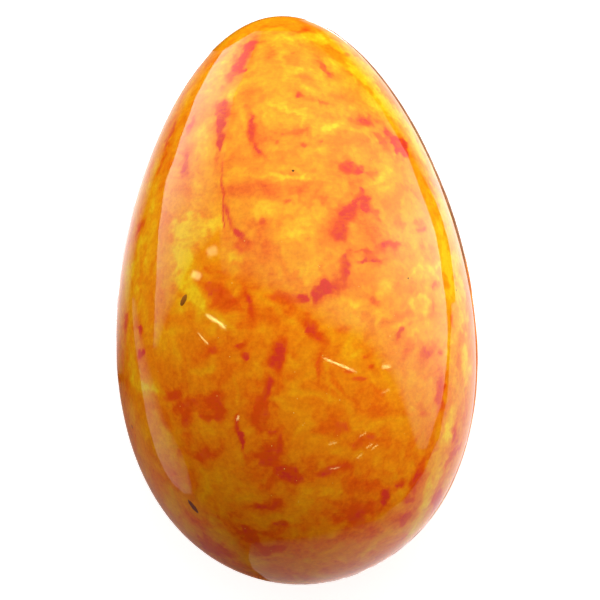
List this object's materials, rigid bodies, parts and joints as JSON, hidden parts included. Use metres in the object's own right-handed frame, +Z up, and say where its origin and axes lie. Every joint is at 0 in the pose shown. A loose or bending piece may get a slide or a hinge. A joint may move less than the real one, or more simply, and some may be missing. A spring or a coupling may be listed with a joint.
{
  "type": "chocolate egg",
  "caption": "Glossy marbled moulded chocolate egg in yellow, orange and red, joined from halves along its length and lying on its side on a small flat spot.",
  "frame": {"origin": "on the floor, below the middle of the egg", "axes": "+Y along the egg from its blunt end to its narrow end; +Z up, square to the plane where the halves are joined; +X to the side"},
  "size_m": [0.0954, 0.15, 0.0947],
  "materials": {
    "marbled_chocolate": "high gloss tempered chocolate with a marbled yellow, orange and red coat",
    "join_chocolate": "satin plain chocolate that joins the halves"
  },
  "bodies": {
    "root": {"egg": "marbled_chocolate"}
  },
  "joints": []
}
